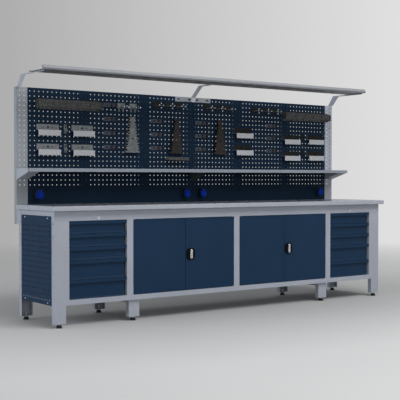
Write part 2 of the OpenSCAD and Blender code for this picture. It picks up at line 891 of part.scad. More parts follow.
// Sockets on the plain strip of the board, each with a sprung lid
module socket_base(x) {
  y = board_y - socket_d;
  axis_y = y - knuckle_r - lid_gap;
  translate([x, 0, socket_h]) {
    difference() {
      upright_plate(y, socket_d) {
        rounded(socket_w, socket_body_h, socket_round);
        translate([-socket_neck_w / 2, 0]) square([socket_neck_w, socket_neck_h]);
      }
      bar_y(0, y - over, 0, well_r, well_d + over);
      for (px = [-socket_pin_x, socket_pin_x])
        bar_y(px, y, 0, socket_pin_r, well_d + socket_pin_d);
    }
    for (ex = [-knuckle_w / 2 - ear_gap - ear_w, knuckle_w / 2 + ear_gap])
      box(ex, axis_y - knuckle_r, lid_axis_up - knuckle_r, ear_w, 2 * knuckle_r + lid_gap, 2 * knuckle_r);
    translate([-knuckle_w / 2 - ear_gap - ear_w / 2, axis_y, lid_axis_up]) rotate([0, 90, 0])
      cylinder(h = knuckle_w + 2 * ear_gap + ear_w, r = lid_pin_r);
  }
}

module socket_bases() {
  color(black) for (p = socket_place_shares) socket_base(col_x(p[0], p[1]));
}

module socket_lid(i) {
  y = board_y - socket_d - lid_gap - lid_t;
  axis_y = board_y - socket_d - knuckle_r - lid_gap;
  x = col_x(socket_place_shares[i][0], socket_place_shares[i][1]);
  color(blue) translate([x, 0, socket_h]) difference() {
    union() {
      bar_y(0, y, 0, lid_r, lid_t);
      bar_y(0, y - lid_t / 2, 0, lid_r - lid_t, lid_t);
      box(-neck_w / 2, y, 0, neck_w, lid_t, lid_axis_up);
      translate([-knuckle_w / 2, axis_y, lid_axis_up]) rotate([0, 90, 0])
        cylinder(h = knuckle_w, r = knuckle_r);
    }
    translate([-knuckle_w / 2 - over, axis_y, lid_axis_up]) rotate([0, 90, 0])
      cylinder(h = knuckle_w + 2 * over, r = lid_pin_r + fit);
  }
}

module socket_lid_1() { socket_lid(0); }

module socket_lid_2() { socket_lid(1); }

module socket_lid_3() { socket_lid(2); }

module socket_lid_4() { socket_lid(3); }

// Shelf and canopy

module shelf() {
  y = board_y - shelf_d;
  low = shelf_h - shelf_lip;
  color(grey) along_x(-frame_w / 2, frame_w) polygon([[board_y, shelf_h], [y, shelf_h], [y, low],
    [y + lip_fold, low], [y + lip_fold, low + shelf_t], [y + shelf_t, low + shelf_t],
    [y + shelf_t, shelf_h - shelf_t], [board_y, shelf_h - shelf_t]]);
}

// A bracket is a folded trough with sloping bottom, open at the top under the shelf
module bracket(x, w, d, drop) {
  top = shelf_h - shelf_t;
  along_x(x, w) polygon([[board_y, top - drop + bracket_t * 2], [board_y, top - drop],
    [board_y - d, top - bracket_nose], [board_y - d, top - bracket_nose + bracket_t * 2]]);
  for (cx = [x, x + w - bracket_t])
    along_x(cx, bracket_t) polygon([[board_y, top], [board_y, top - drop],
      [board_y - d, top - bracket_nose], [board_y - d, top]]);
}

module shelf_brackets() {
  d = shelf_d - lip_fold - seat;
  color(grey) {
    bracket(-frame_w / 2, leg_w, d, bracket_low);
    bracket(leg_in, leg_w, d, bracket_low);
    bracket(-centre_bracket_w / 2, centre_bracket_w, centre_bracket_d, centre_bracket_low);
  }
}

// The canopy is a level sheet with a hem at the back and a front that bends out, leans back and folds over
module canopy() {
  back = board_y - canopy_back;
  front = back - canopy_d;
  low = canopy_h;
  top = canopy_h + canopy_front;
  t = canopy_t;
  color(grey) along_x(-frame_w / 2, frame_w) polygon([[back, low], [front + canopy_tuck, low],
    [front, low + canopy_bend], [front + canopy_lean, top], [front + canopy_lean + canopy_lip, top],
    [front + canopy_lean + canopy_lip, top - t], [front + canopy_lean + t, top - t],
    [front + t, low + canopy_bend], [front + canopy_tuck + t, low + t], [back - t, low + t],
    [back - t, low + canopy_hem], [back, low + canopy_hem]]);
}

// An end arm is a plate in the YZ plane with a tail behind the post's web and a level end under the canopy
module end_arm(x) {
  low = canopy_h - arm_level_h;
  tip = board_y - canopy_back - arm_reach;
  along_x(x, arm_t) polygon([[board_y + rail_t, board_top - arm_tail],
    [board_y + arm_base_back, board_top - arm_tail], [board_y + arm_base_back, board_top],
    [board_y - arm_knee, canopy_h], [tip, canopy_h], [tip, low], [board_y - arm_knee_low, low],
    [board_y - arm_base_front, board_top], [board_y + rail_t, board_top]]);
}

// The middle arm is a bent bar whose foot lies in front of the centre plate
module middle_arm() {
  low = canopy_h - arm_bar_t;
  tip = board_y - canopy_back - arm_mid_reach;
  knee = board_y - arm_mid_knee;
  y = board_y - centre_plate_t;
  along_x(-arm_mid_w / 2, arm_mid_w) polygon([[y, board_top - centre_plate_h], [y, board_top],
    [knee, canopy_h], [tip, canopy_h], [tip, low], [knee, low], [y - arm_bar_t, board_top],
    [y - arm_bar_t, board_top - centre_plate_h]]);
}

module canopy_arms() {
  color(grey) {
    end_arm(-frame_w / 2 + arm_inset);
    end_arm(frame_w / 2 - arm_inset - arm_t);
    middle_arm();
  }
}

module centre_plate() {
  z = board_top - centre_plate_h / 2;
  color(pale) upright_plate(board_y - centre_plate_t, centre_plate_t) difference() {
    translate([0, z]) square([centre_plate_w, centre_plate_h], center = true);
    for (x = centre_slot_x)
      translate([x, z]) rounded(centre_slot_w, centre_slot_h, centre_slot_h / 2 - seat);
  }
}

// Tool holders on the back board

module comb_rack(x) {
  y = board_y - comb_d;
  bar_z = comb_h - comb_bar_h / 2;
  difference() {
    union() {
      box(x, board_y - holder_t, comb_h - comb_back_h / 2, comb_w, holder_t, comb_back_h);
      for (cx = [x, x + comb_w - holder_t])
        along_x(cx, holder_t) polygon([[board_y, comb_h - comb_back_h / 2],
          [board_y, comb_h + comb_back_h / 2], [y, bar_z + comb_bar_h], [y, bar_z]]);
      box(x, y, bar_z, comb_w, holder_t, comb_bar_h);
    }
    for (i = [1 : comb_slot_n])
      upright_plate(y - over, holder_t + 2 * over)
        translate([x + i * comb_w / (comb_slot_n + 1 / 5), comb_h])
        polygon([[0, -comb_bar_h / 4], [comb_slot_w, -comb_bar_h / 4],
          [comb_slot_w + comb_slot_lean, comb_bar_h], [comb_slot_lean, comb_bar_h]]);
  }
}

module comb_racks() {
  color(olive) {
    for (p = comb_place_shares) comb_rack(col_x(p[0], p[1]));
    ledge();
  }
}

// A small ledge with a front lip
module ledge() {
  y = board_y - ledge_d;
  x = col_x(ledge_col_share, -1) - ledge_w / 2;
  z = row_z(ledge_row_share);
  box(x, y, z, ledge_w, holder_t, ledge_h);
  box(x, y, z, ledge_w, ledge_d, holder_t);
  box(x, board_y - holder_t, z, ledge_w, holder_t, ledge_back_h);
}

// A tray has a plate on the board, a level part with holes and a front lip with notches
module tray_holder(x, z) {
  y = board_y - tray_d;
  low = z - tray_plate_h / 2;
  upright_plate(board_y - holder_t, holder_t) difference() {
    translate([x, z]) square([tray_w, tray_plate_h], center = true);
    translate([x, z]) circle(tray_eye_r);
    for (s = [-1, 1])
      translate([x + s * pitch, z]) circle(tray_pin_r);
  }
  translate([x, y, low - holder_t]) linear_extrude(holder_t) difference() {
    translate([-tray_w / 2, 0]) square([tray_w, tray_d]);
    for (i = [0 : tray_hole_n - 1])
      translate([(i * 2 + 1) * tray_w / tray_hole_n / 2 - tray_w / 2, tray_d / 2]) circle(tray_hole_r);
  }
  upright_plate(y, holder_t) difference() {
    translate([x - tray_w / 2, low - tray_face_h]) square([tray_w, tray_face_h]);
    for (i = [0 : tray_notch_n - 1])
      translate([x + (i + 1 / 2) * tray_w / tray_notch_n - tray_w / 2, low - tray_face_h])
        square([tray_notch_w, 2 * tray_notch_h], center = true);
  }
  box(x - tray_w / 2, board_y - holder_t, low - holder_t, tray_w, holder_t, 2 * holder_t);
}

module tray_holders() {
  color(pale) for (p = tray_place_shares) tray_holder(col_x(p[0], p[2]), row_z(p[1]));
}

// A spring clip has a plate with an eye and two jaws that pinch in at their ends
module tool_clip(x, z) {
  upright_plate(board_y - holder_t, holder_t) difference() {
    translate([x - clip_eye, z - clip_w / 2]) square([clip_plate + clip_jaw, clip_w]);
    translate([x, z]) circle(tray_eye_r);
  }
  translate([x + clip_plate - clip_eye, board_y - holder_t, z - clip_w / 2]) linear_extrude(clip_w) {
    polygon([[0, 0], [clip_pinch, clip_pinch - clip_d], [clip_pinch + holder_t, clip_pinch - clip_d],
      [holder_t, 0]]);
    translate([clip_jaw - holder_t, 0])
      polygon([[0, 0], [-clip_pinch, clip_pinch - clip_d], [holder_t - clip_pinch, clip_pinch - clip_d],
        [holder_t, 0]]);
  }
}

// A single hook: a plate with an eye and a bent tongue
module single_hook(x, z) {
  upright_plate(board_y - holder_t, holder_t) difference() {
    translate([x, z - hook_h / 4]) square([hook_w, hook_h], center = true);
    translate([x, z]) circle(tray_eye_r);
  }
  along_x(x - hook_w / 4, hook_w / 2) translate([board_y, z - hook_h / 2])
    polygon([[0, 0], [-hook_reach, 0], [-hook_reach, hook_w / 2], [holder_t - hook_reach, hook_w / 2],
      [holder_t - hook_reach, holder_t], [0, holder_t]]);
}

module tool_clips() {
  color(olive) {
    for (p = clip_place_shares) tool_clip(col_x(p[0], p[2]), row_z(p[1]));
    for (p = hook_place_shares) single_hook(col_x(p[0], p[2]), row_z(p[1]));
  }
}

// A twin hook: a plate with two legs, and two long pegs whose tips turn up
module twin_hook(x, z) {
  y = board_y - twin_reach;
  upright_plate(board_y - holder_t, holder_t) {
    translate([x - twin_w / 2, z - twin_low]) square([twin_w, twin_h]);
    for (s = [-1, 1])
      translate([x + s * twin_peg_x - twin_leg_w / 2, z - twin_low - twin_leg_h])
        square([twin_leg_w, twin_leg_h + twin_low]);
  }
  for (s = [-1, 1]) {
    bar_y(x + s * twin_peg_x, y, z, twin_peg_r, twin_reach - holder_t / 2);
    translate([x + s * twin_peg_x, y, z]) {
      sphere(twin_peg_r + seat);
      cylinder(h = twin_tip, r = twin_tip_r);
    }
  }
}

module twin_hooks() {
  color(olive) for (p = twin_place_shares) twin_hook(col_x(p[0], p[2]), row_z(p[1]));
}

// A spanner rack is a tapered trough with teeth along both sides
module spanner_rack(x) {
  tooth_pitch = spanner_h / (spanner_teeth_n + 1);
  slope = (spanner_low_w - spanner_top_w) / 2 / spanner_h;
  translate([x, 0, spanner_low]) difference() {
    upright_plate(board_y - spanner_d, spanner_d) taper(0);
    upright_plate(board_y - spanner_d + holder_t, spanner_d) taper(holder_t);
    bar_y(0, board_y - spanner_d - over, spanner_eye_h, spanner_eye_r, holder_t + 2 * over);
    for (i = [1 : spanner_teeth_n]) {
      half = spanner_low_w / 2 - slope * i * tooth_pitch;
      for (tx = [-half - tooth_d, half - tooth_d])
        box(tx, board_y - spanner_d - over, i * tooth_pitch - tooth_h / 2, 2 * tooth_d,
          spanner_d - holder_t, tooth_h);
    }
  }
}

// The tapered outline, drawn in by t on every side
module taper(t) {
  polygon([[t - spanner_low_w / 2, t], [spanner_low_w / 2 - t, t],
    [spanner_top_w / 2 - t, spanner_h - t], [t - spanner_top_w / 2, spanner_h - t]]);
}

module spanner_racks() {
  color(olive) for (p = spanner_place_shares) spanner_rack(col_x(p[0], p[1]));
}

// Pan head screws of the side panels, with their heads proud of the sheet
module screws() {
  mid = face_y + frame_d / 2;
  dy = (frame_d - 2 * leg_d) * side_screw_y_share;
  rows = [cab_bottom + side_screw_drop, cab_top - side_screw_drop];
  color(silver) for (side = [-1, 1], sy = [-1, 1], z = rows)
    translate([side * frame_w / 2, mid + sy * dy, z]) rotate([0, side * 90, 0]) {
      cylinder(h = screw_head, r1 = screw_r, r2 = screw_r * 2 / 3);
      translate([0, 0, -shank_l]) cylinder(h = shank_l, r = shank_r);
    }
}

worktop();
top_rails();
rear_rail();
front_legs();
rear_legs();
middle_stands();
levelling_feet();
end_rails();
side_panels();
left_drawer_cabinet();
left_cupboard();
right_cupboard();
right_drawer_cabinet();
left_drawer_1();
left_drawer_2();
left_drawer_3();
left_drawer_4();
left_drawer_5();
right_drawer_1();
right_drawer_2();
right_drawer_3();
right_drawer_4();
right_drawer_5();
drawer_runners();
left_door_a();
left_door_b();
right_door_a();
right_door_b();
hinge_pins();
cupboard_shelves();
left_handle_plate();
right_handle_plate();
left_handle();
right_handle();
left_drawer_lock();
right_drawer_lock();
end_posts();
rear_uprights();
board_panel_1();
board_panel_2();
board_panel_3();
board_panel_4();
board_panel_5();
board_panel_6();
socket_bases();
socket_lid_1();
socket_lid_2();
socket_lid_3();
socket_lid_4();
shelf();
shelf_brackets();
canopy();
canopy_arms();
centre_plate();
comb_racks();
tray_holders();
tool_clips();
twin_hooks();
spanner_racks();
screws();
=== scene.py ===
"""The look of the metal workbench: finishes, detailed pieces, floor, light and camera."""

import json
import math

import bpy
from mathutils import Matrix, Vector


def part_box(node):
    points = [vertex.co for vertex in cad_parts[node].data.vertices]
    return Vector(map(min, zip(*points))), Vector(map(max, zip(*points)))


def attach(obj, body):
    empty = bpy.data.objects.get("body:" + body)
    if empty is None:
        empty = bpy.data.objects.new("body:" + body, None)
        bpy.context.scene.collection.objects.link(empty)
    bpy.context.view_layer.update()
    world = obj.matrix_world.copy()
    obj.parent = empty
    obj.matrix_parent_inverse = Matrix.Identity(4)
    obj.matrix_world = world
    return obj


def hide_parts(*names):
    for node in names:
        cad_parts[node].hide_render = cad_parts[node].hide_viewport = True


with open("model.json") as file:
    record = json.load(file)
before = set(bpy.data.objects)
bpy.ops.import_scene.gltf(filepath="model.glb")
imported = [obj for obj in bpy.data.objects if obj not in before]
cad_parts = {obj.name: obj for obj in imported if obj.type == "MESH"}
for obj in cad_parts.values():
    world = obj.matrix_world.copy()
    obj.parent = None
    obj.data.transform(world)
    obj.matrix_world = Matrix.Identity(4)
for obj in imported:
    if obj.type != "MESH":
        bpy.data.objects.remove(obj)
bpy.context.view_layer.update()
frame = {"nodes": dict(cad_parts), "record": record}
nodes = frame["nodes"]
slot_of = {s["node"]: s["material_slot"] for s in frame["record"]["subparts"]}

# Camera
EYE = (-4.7911, -6.3413, 1.0722)
YAW = math.radians(36.20)
PITCH = math.radians(-1.295)
LENS = 85.24
SENSOR = 36.0
FAR_CLIP = 200.0

# Background greys seen by the camera, from left to right
BACK_LEFT = 0.42
BACK_RIGHT = 0.74
BACK_REACH = 0.2

# Floor: its grey, how much painted shade darkens it beside the bench, and where it turns into the background
FLOOR_GREY = 0.585
FLOOR_PAINTED_SHADE = 0.69
FLOOR_PAINTED_SHADE_REACH = (0.3, 2.1)
FLOOR_PAINTED_SHADE_SQUEEZE = (0.45, 1.0, 1.0)
FLOOR_NEAR = 2.4
FLOOR_FAR = 8.5
FLOOR_SIZE = 60.0

FLOOR_CLOUD = (0.985, 1.015)
FLOOR_DULL = 0.8
FLOOR_SHINE = 0.1

# Light: each softbox has a place, a point it faces, a size, a power and a tint
WORLD_LIGHT = 0.36
WORLD_TINT = (0.97, 0.985, 1.0, 1.0)
SOFTBOXES = (
    ("key softbox", (0.8, -4.2, 5.8), (0.0, 0.0, 0.8), (5.0, 3.5), 330.0, (1.0, 1.0, 1.0)),
    ("front softbox", (-2.0, -8.0, 1.8), (0.0, 0.0, 0.9), (4.0, 2.0), 100.0, (1.0, 1.0, 1.0)),
    ("left softbox", (-6.5, 0.5, 1.8), (-1.5, 0.0, 0.8), (3.0, 2.5), 145.0, (0.90, 0.96, 1.0)),
)


def deselect():
    bpy.ops.object.select_all(action="DESELECT")


def choose(obj):
    deselect()
    obj.select_set(True)
    bpy.context.view_layer.objects.active = obj


# Materials

# Size of the patterns on a surface, in repeats a metre
CLOUD_SCALE = 2.2
SCUFF_SCALE = 60.0
DULL_SCALE = 14.0
RUB_SCALE = 25.0
RUB_DULL_SCALE = 40.0
LINE_SCALE = 22.0
SPOT_SCALE = 90.0
FLOOR_CLOUD_SCALE = 0.8

# Where a noise turns from none to full, and how far the dullness varies about its middle
CLOUD_RANGE = (0.3, 0.7)
SCUFF_RANGE = (0.52, 0.66)
SPOT_RANGE = (0.4, 0.7)
COAT_DULL = (-0.05, 0.07)
PLASTIC_DULL = (-0.06, 0.08)
METAL_DULL = (-0.08, 0.1)

# How much darker and paler rubbed plastic and plating get, and the grey of scuffed paint
PLASTIC_RUB = (0.88, 1.18)
METAL_RUB = (0.9, 1.05)
SCUFF_GREY = (0.42, 0.42, 0.43)

# Strength and depth of the relief
COAT_RELIEF = (0.12, 0.0003)
PLASTIC_RELIEF = (0.15, 0.0002)
METAL_RELIEF = (0.08, 0.0002)


def new_material(name):
    material = bpy.data.materials.new(name)
    material.use_nodes = True
    tree = material.node_tree
    shader = tree.nodes["Principled BSDF"]
    place = tree.nodes.new("ShaderNodeTexCoord")
    return material, tree, shader, place.outputs["Object"]


def noise(tree, place, scale, detail=2.0, stretch=None):
    if stretch:
        mapping = tree.nodes.new("ShaderNodeMapping")
        mapping.inputs["Scale"].default_value = stretch
        tree.links.new(place, mapping.inputs["Vector"])
        place = mapping.outputs["Vector"]
    node = tree.nodes.new("ShaderNodeTexNoise")
    node.inputs["Scale"].default_value = scale
    node.inputs["Detail"].default_value = detail
    tree.links.new(place, node.inputs["Vector"])
    return node.outputs["Fac"]


def spread(tree, value, low, high, start=0.35, end=0.65):
    """Maps a noise value to the range from low to high."""
    node = tree.nodes.new("ShaderNodeMapRange")
    for socket, number in zip(("From Min", "From Max", "To Min", "To Max"), (start, end, low, high)):
        node.inputs[socket].default_value = number
    tree.links.new(value, node.inputs["Value"])
    return node.outputs["Result"]


def blend(tree, factor, first, second):
    """Mixes two colours by a factor."""
    node = tree.nodes.new("ShaderNodeMix")
    node.data_type = "RGBA"
    tree.links.new(factor, node.inputs["Factor"])
    for socket, colour in ((node.inputs[6], first), (node.inputs[7], second)):
        if isinstance(colour, bpy.types.NodeSocket):
            tree.links.new(colour, socket)
        else:
            socket.default_value = (*colour, 1.0)
    return node.outputs[2]


def bump(tree, shader, height, strength, depth, under=None):
    node = tree.nodes.new("ShaderNodeBump")
    node.inputs["Strength"].default_value = strength
    node.inputs["Distance"].default_value = depth
    tree.links.new(height, node.inputs["Height"])
    if under:
        tree.links.new(under, node.inputs["Normal"])
    tree.links.new(node.outputs["Normal"], shader.inputs["Normal"])
    return node.outputs["Normal"]


def tinted(colour, share):
    return tuple(min(1.0, c * share) for c in colour)


def powder_coat(name, colour, grain=900.0, dull=0.42, dust=0.06, wear=0.0, shine=0.3):
    """Sprayed and baked paint: fine orange peel, faint clouds of handling marks, scuffs where wear is given."""
    material, tree, shader, place = new_material(name)
    shader.inputs["Specular IOR Level"].default_value = shine
    cloud = spread(tree, noise(tree, place, CLOUD_SCALE, 4.0), 0.0, 1.0, *CLOUD_RANGE)
    base = blend(tree, cloud, tinted(colour, 1.0 - dust), tinted(colour, 1.0 + dust))
    if wear:
        scuff = spread(tree, noise(tree, place, SCUFF_SCALE, 6.0), 0.0, wear, *SCUFF_RANGE)
        base = blend(tree, scuff, base, SCUFF_GREY)
    tree.links.new(base, shader.inputs["Base Color"])
    least, most = (dull + step for step in COAT_DULL)
    dullness = spread(tree, noise(tree, place, DULL_SCALE, 5.0), least, most)
    tree.links.new(dullness, shader.inputs["Roughness"])
    bump(tree, shader, noise(tree, place, grain, 2.0), *COAT_RELIEF)
    return material


def moulded_plastic(name, colour, dull=0.5, grain=1500.0, shine=0.12):
    """Moulded plastic with a fine spark-eroded grain and slightly rubbed areas."""
    material, tree, shader, place = new_material(name)
    shader.inputs["Specular IOR Level"].default_value = shine
    rub = spread(tree, noise(tree, place, RUB_SCALE, 5.0), 0.0, 1.0)
    dark, pale = (tinted(colour, share) for share in PLASTIC_RUB)
    tree.links.new(blend(tree, rub, dark, pale), shader.inputs["Base Color"])
    least, most = (dull + step for step in PLASTIC_DULL)
    dullness = spread(tree, noise(tree, place, RUB_DULL_SCALE, 4.0), least, most)
    tree.links.new(dullness, shader.inputs["Roughness"])
    bump(tree, shader, noise(tree, place, grain, 1.0), *PLASTIC_RELIEF)
    return material


def plated_metal(name, colour, dull=0.3, stretch=(40.0, 40.0, 1.0)):
    """Zinc or chrome plating over drawn steel, with fine draw lines and dull spots."""
    material, tree, shader, place = new_material(name)
    shader.inputs["Metallic"].default_value = 1.0
    lines = noise(tree, place, LINE_SCALE, 4.0, stretch)
    spots = spread(tree, noise(tree, place, SPOT_SCALE, 5.0), 0.0, 1.0, *SPOT_RANGE)
    dark, pale = (tinted(colour, share) for share in METAL_RUB)
    tree.links.new(blend(tree, spots, dark, pale), shader.inputs["Base Color"])
    least, most = (dull + step for step in METAL_DULL)
    tree.links.new(spread(tree, lines, least, most), shader.inputs["Roughness"])
    bump(tree, shader, lines, *METAL_RELIEF)
    return material


FINISHES = {
    "frame_grey": powder_coat("bluish grey powder coat", (0.31, 0.333, 0.385)),
    "top_grey": powder_coat("worktop grey coat", (0.32, 0.34, 0.385), 700.0, 0.3, 0.05),
    "top_sheet": powder_coat("worktop sheet", (0.104, 0.111, 0.125), 500.0, 0.24, 0.05, 0.02, 0.5),
    "pale_grey": powder_coat("pale grey powder coat", (0.36, 0.37, 0.39)),
    "door_navy": powder_coat("door navy powder coat", (0.0078, 0.0265, 0.0605), 900.0, 0.38, 0.08, 0.0, 0.1),
    # Painted shade: the board's navy is the doors' navy darkened for the shade under canopy and shelf; its
    # duller finish is its own
    "board_navy": powder_coat("board navy coat darkened as painted shade", (0.0045, 0.0145, 0.031), 900.0, 0.5, 0.08, 0.0, 0.06),
    "foot_black": moulded_plastic("black foot plastic", (0.010, 0.010, 0.012)),
    "plate_black": moulded_plastic("black handle plastic", (0.003, 0.003, 0.0035), 0.42, 1500.0, 0.05),
    "socket_grey": moulded_plastic("dark socket plastic", (0.018, 0.020, 0.022)),
    "lid_blue": moulded_plastic("blue lid plastic", (0.001, 0.021, 0.235), 0.35, 1500.0, 0.06),
    "holder_grey": powder_coat("olive grey holder coat", (0.034, 0.035, 0.034), 900.0, 0.42, 0.1, 0.12),
    "tray_plate": powder_coat("tray plate coat", (0.125, 0.137, 0.145), 900.0, 0.45, 0.08, 0.2),
    "clip_plate": powder_coat("clip plate coat", (0.048, 0.054, 0.070), 900.0, 0.45, 0.1, 0.08, 0.1),
    # Painted shade: the darker tone of holder plates and clips toward the right
    "shaded_dark_holder": powder_coat("dark holder coat darkened as painted shade", (0.0115, 0.0115, 0.0105), 900.0, 0.5, 0.1, 0.015, 0.05),
    "centre_coat": powder_coat("middle plate coat", (0.19, 0.20, 0.22), 900.0, 0.42, 0.06, 0.04),
    # Painted shade: the canopy in a darker grey than the frame's paint
    "canopy_shaded_coat": powder_coat("canopy coat darkened as painted shade", (0.235, 0.245, 0.265)),
    # Painted shade: the canopy's underside made nearly black
    "canopy_underside_painted_shade": powder_coat("canopy underside painted shade", (0.045, 0.047, 0.052)),
    # Painted shade: the shelf in a darker grey than the frame's paint
    "shelf_shaded_coat": powder_coat("shelf coat darkened as painted shade", (0.22, 0.245, 0.285)),
    # Painted shade: the left post darker than the right one
    "left_post_shaded_coat": powder_coat("left post coat darkened as painted shade", (0.235, 0.26, 0.285)),
    # Painted shade: the spanner racks right of the first one darker
    "shaded_dark_rack": powder_coat("dark rack coat darkened as painted shade", (0.024, 0.022, 0.020), 900.0, 0.5, 0.1, 0.03, 0.05),
    # Painted light: the middle canopy arm paler than the others
    "middle_arm": powder_coat("middle arm coat lightened as painted light", (0.42, 0.44, 0.48)),
    # Painted shade: the middle shelf bracket darker than the end ones
    "middle_bracket_painted_shade": powder_coat("middle bracket coat darkened as painted shade", (0.040, 0.048, 0.054), 900.0, 0.45, 0.08, 0.05, 0.1),
    "dark_bolt": moulded_plastic("blackened bolt", (0.006, 0.006, 0.007), 0.4, 1500.0, 0.15),
    # Painted light: the paler tone of holders at the left end
    "lit_pale_holder": powder_coat("pale holder coat lightened as painted light", (0.095, 0.105, 0.105), 500.0, 0.4, 0.12, 0.3),
    "plated_steel": plated_metal("zinc plated steel", (0.55, 0.56, 0.58), 0.38),
    "bright_metal": plated_metal("bright plated metal", (0.66, 0.67, 0.69), 0.22),
    "screw_metal": plated_metal("screw plating", (0.88, 0.89, 0.90), 0.5),
}


# The same paints where edges have been rubbed
WORN = {
    "frame_grey": powder_coat("rubbed frame edges", (0.36, 0.38, 0.43), 900.0, 0.36, 0.08, 0.35),
    "top_grey": powder_coat("rubbed worktop edges", (0.335, 0.355, 0.40), 700.0, 0.3, 0.06, 0.06),
    "door_navy": powder_coat("rubbed navy edges", (0.014, 0.040, 0.085), 900.0, 0.34, 0.1, 0.12, 0.15),
}


def dress_nodes():
    """Gives every CAD node the finish of its slot in the record."""
    for name, node in nodes.items():
        node.data.materials.clear()
        node.data.materials.append(FINISHES[slot_of[name]])


# Floor, background, light and camera


def background_grey(tree, direction):
    """The grey that the camera sees in a direction: darker to its left and paler to its right."""
    across = tree.nodes.new("ShaderNodeVectorMath")
    across.operation = "DOT_PRODUCT"
    across.inputs[1].default_value = (math.cos(YAW), -math.sin(YAW), 0.0)
    tree.links.new(direction, across.inputs[0])
    grey = spread(tree, across.outputs["Value"], BACK_LEFT, BACK_RIGHT, -BACK_REACH, BACK_REACH)
    colour = tree.nodes.new("ShaderNodeCombineColor")
    for socket in colour.inputs:
        tree.links.new(grey, socket)
    return colour.outputs["Color"]


def camera_sees(tree):
    """Is 1 for rays that see the background, straight or in a mirror."""
    path = tree.nodes.new("ShaderNodeLightPath")
    total = path.outputs["Is Camera Ray"]
    for other in ("Is Glossy Ray", "Is Transmission Ray"):
        add = tree.nodes.new("ShaderNodeMath")
        add.operation = "MAXIMUM"
        tree.links.new(total, add.inputs[0])
        tree.links.new(path.outputs[other], add.inputs[1])
        total = add.outputs["Value"]
    return total


def make_world():
    world = bpy.data.worlds.new("studio")
    bpy.context.scene.world = world
    world.use_nodes = True
    tree = world.node_tree
    light = tree.nodes["Background"]
    light.inputs["Color"].default_value = WORLD_TINT
    light.inputs["Strength"].default_value = WORLD_LIGHT
    seen = tree.nodes.new("ShaderNodeBackground")
    place = tree.nodes.new("ShaderNodeTexCoord")
    tree.links.new(background_grey(tree, place.outputs["Generated"]), seen.inputs["Color"])
    mix = tree.nodes.new("ShaderNodeMixShader")
    tree.links.new(camera_sees(tree), mix.inputs[0])
    tree.links.new(light.outputs[0], mix.inputs[1])
    tree.links.new(seen.outputs[0], mix.inputs[2])
    tree.links.new(mix.outputs[0], tree.nodes["World Output"].inputs["Surface"])


def make_floor():
    """A pale floor that takes the bench's shadow, is darkened beside the bench by painted shade, and turns into
    the background further out.
    """
    deselect()
    bpy.ops.mesh.primitive_plane_add(size=FLOOR_SIZE, location=(0, 0, 0))
    floor = bpy.context.object
    floor.name = "floor"
    material, tree, shader, place = new_material("studio floor")
    shader.inputs["Roughness"].default_value = FLOOR_DULL
    shader.inputs["Specular IOR Level"].default_value = FLOOR_SHINE
    cloud = noise(tree, place, FLOOR_CLOUD_SCALE, 3.0)
    low, high = (tinted((FLOOR_GREY,) * 3, share) for share in FLOOR_CLOUD)
    # Painted shade: the floor's grey is darker near the bench, fading out over an oval around it
    around = tree.nodes.new("ShaderNodeVectorMath")
    around.operation = "MULTIPLY"
    around.inputs[1].default_value = FLOOR_PAINTED_SHADE_SQUEEZE
    tree.links.new(place, around.inputs[0])
    reach = tree.nodes.new("ShaderNodeVectorMath")
    reach.operation = "LENGTH"
    tree.links.new(around.outputs[0], reach.inputs[0])
    outward = spread(tree, reach.outputs["Value"], 0.0, 1.0, *FLOOR_PAINTED_SHADE_REACH)
    painted_floor_shade = tinted((FLOOR_GREY,) * 3, FLOOR_PAINTED_SHADE)
    tree.links.new(blend(tree, outward, painted_floor_shade, blend(tree, cloud, low, high)), shader.inputs["Base Color"])
    offset = tree.nodes.new("ShaderNodeVectorMath")
    offset.operation = "SUBTRACT"
    offset.inputs[1].default_value = EYE
    tree.links.new(place, offset.inputs[0])
    unit = tree.nodes.new("ShaderNodeVectorMath")
    unit.operation = "NORMALIZE"
    tree.links.new(offset.outputs[0], unit.inputs[0])
    glow = tree.nodes.new("ShaderNodeEmission")
    tree.links.new(background_grey(tree, unit.outputs[0]), glow.inputs["Color"])
    far = tree.nodes.new("ShaderNodeVectorMath")
    far.operation = "LENGTH"
    tree.links.new(place, far.inputs[0])
    fade = spread(tree, far.outputs["Value"], 0.0, 1.0, FLOOR_NEAR, FLOOR_FAR)
    seen = tree.nodes.new("ShaderNodeMath")
    seen.operation = "MULTIPLY"
    tree.links.new(fade, seen.inputs[0])
    tree.links.new(camera_sees(tree), seen.inputs[1])
    mix = tree.nodes.new("ShaderNodeMixShader")
    tree.links.new(seen.outputs[0], mix.inputs[0])
    tree.links.new(shader.outputs[0], mix.inputs[1])
    tree.links.new(glow.outputs[0], mix.inputs[2])
    tree.links.new(mix.outputs[0], tree.nodes["Material Output"].inputs["Surface"])
    floor.data.materials.append(material)


def add_softbox(name, place, aim, size, power, tint):
    light = bpy.data.lights.new(name, "AREA")
    light.shape = "RECTANGLE"
    light.size, light.size_y = size
    light.energy = power
    light.color = tint
    lamp = bpy.data.objects.new(name, light)
    bpy.context.scene.collection.objects.link(lamp)
    lamp.location = place
    lamp.rotation_euler = (Vector(aim) - Vector(place)).to_track_quat("-Z", "Y").to_euler()


def add_camera():
    data = bpy.data.cameras.new("camera")
    data.lens = LENS
    data.sensor_width = SENSOR
    data.clip_end = FAR_CLIP
    camera = bpy.data.objects.new("camera", data)
    bpy.context.scene.collection.objects.link(camera)
    camera.location = EYE
    camera.rotation_euler = (math.pi / 2 + PITCH, 0.0, -YAW)
    bpy.context.scene.camera = camera


# Modelling

# Cosine from which a face counts as facing a direction, and the turns that count as flat and as sharp
FACING = 0.9
FLAT_TURN = math.radians(0.5)
SHARP_TURN = math.radians(35.0)


def settle(obj, name):
    """Moves an object's place into its mesh and names it."""
    choose(obj)
    bpy.ops.object.transform_apply(location=True, rotation=True, scale=True)
    obj.name = name
    obj.data.name = name
    return obj


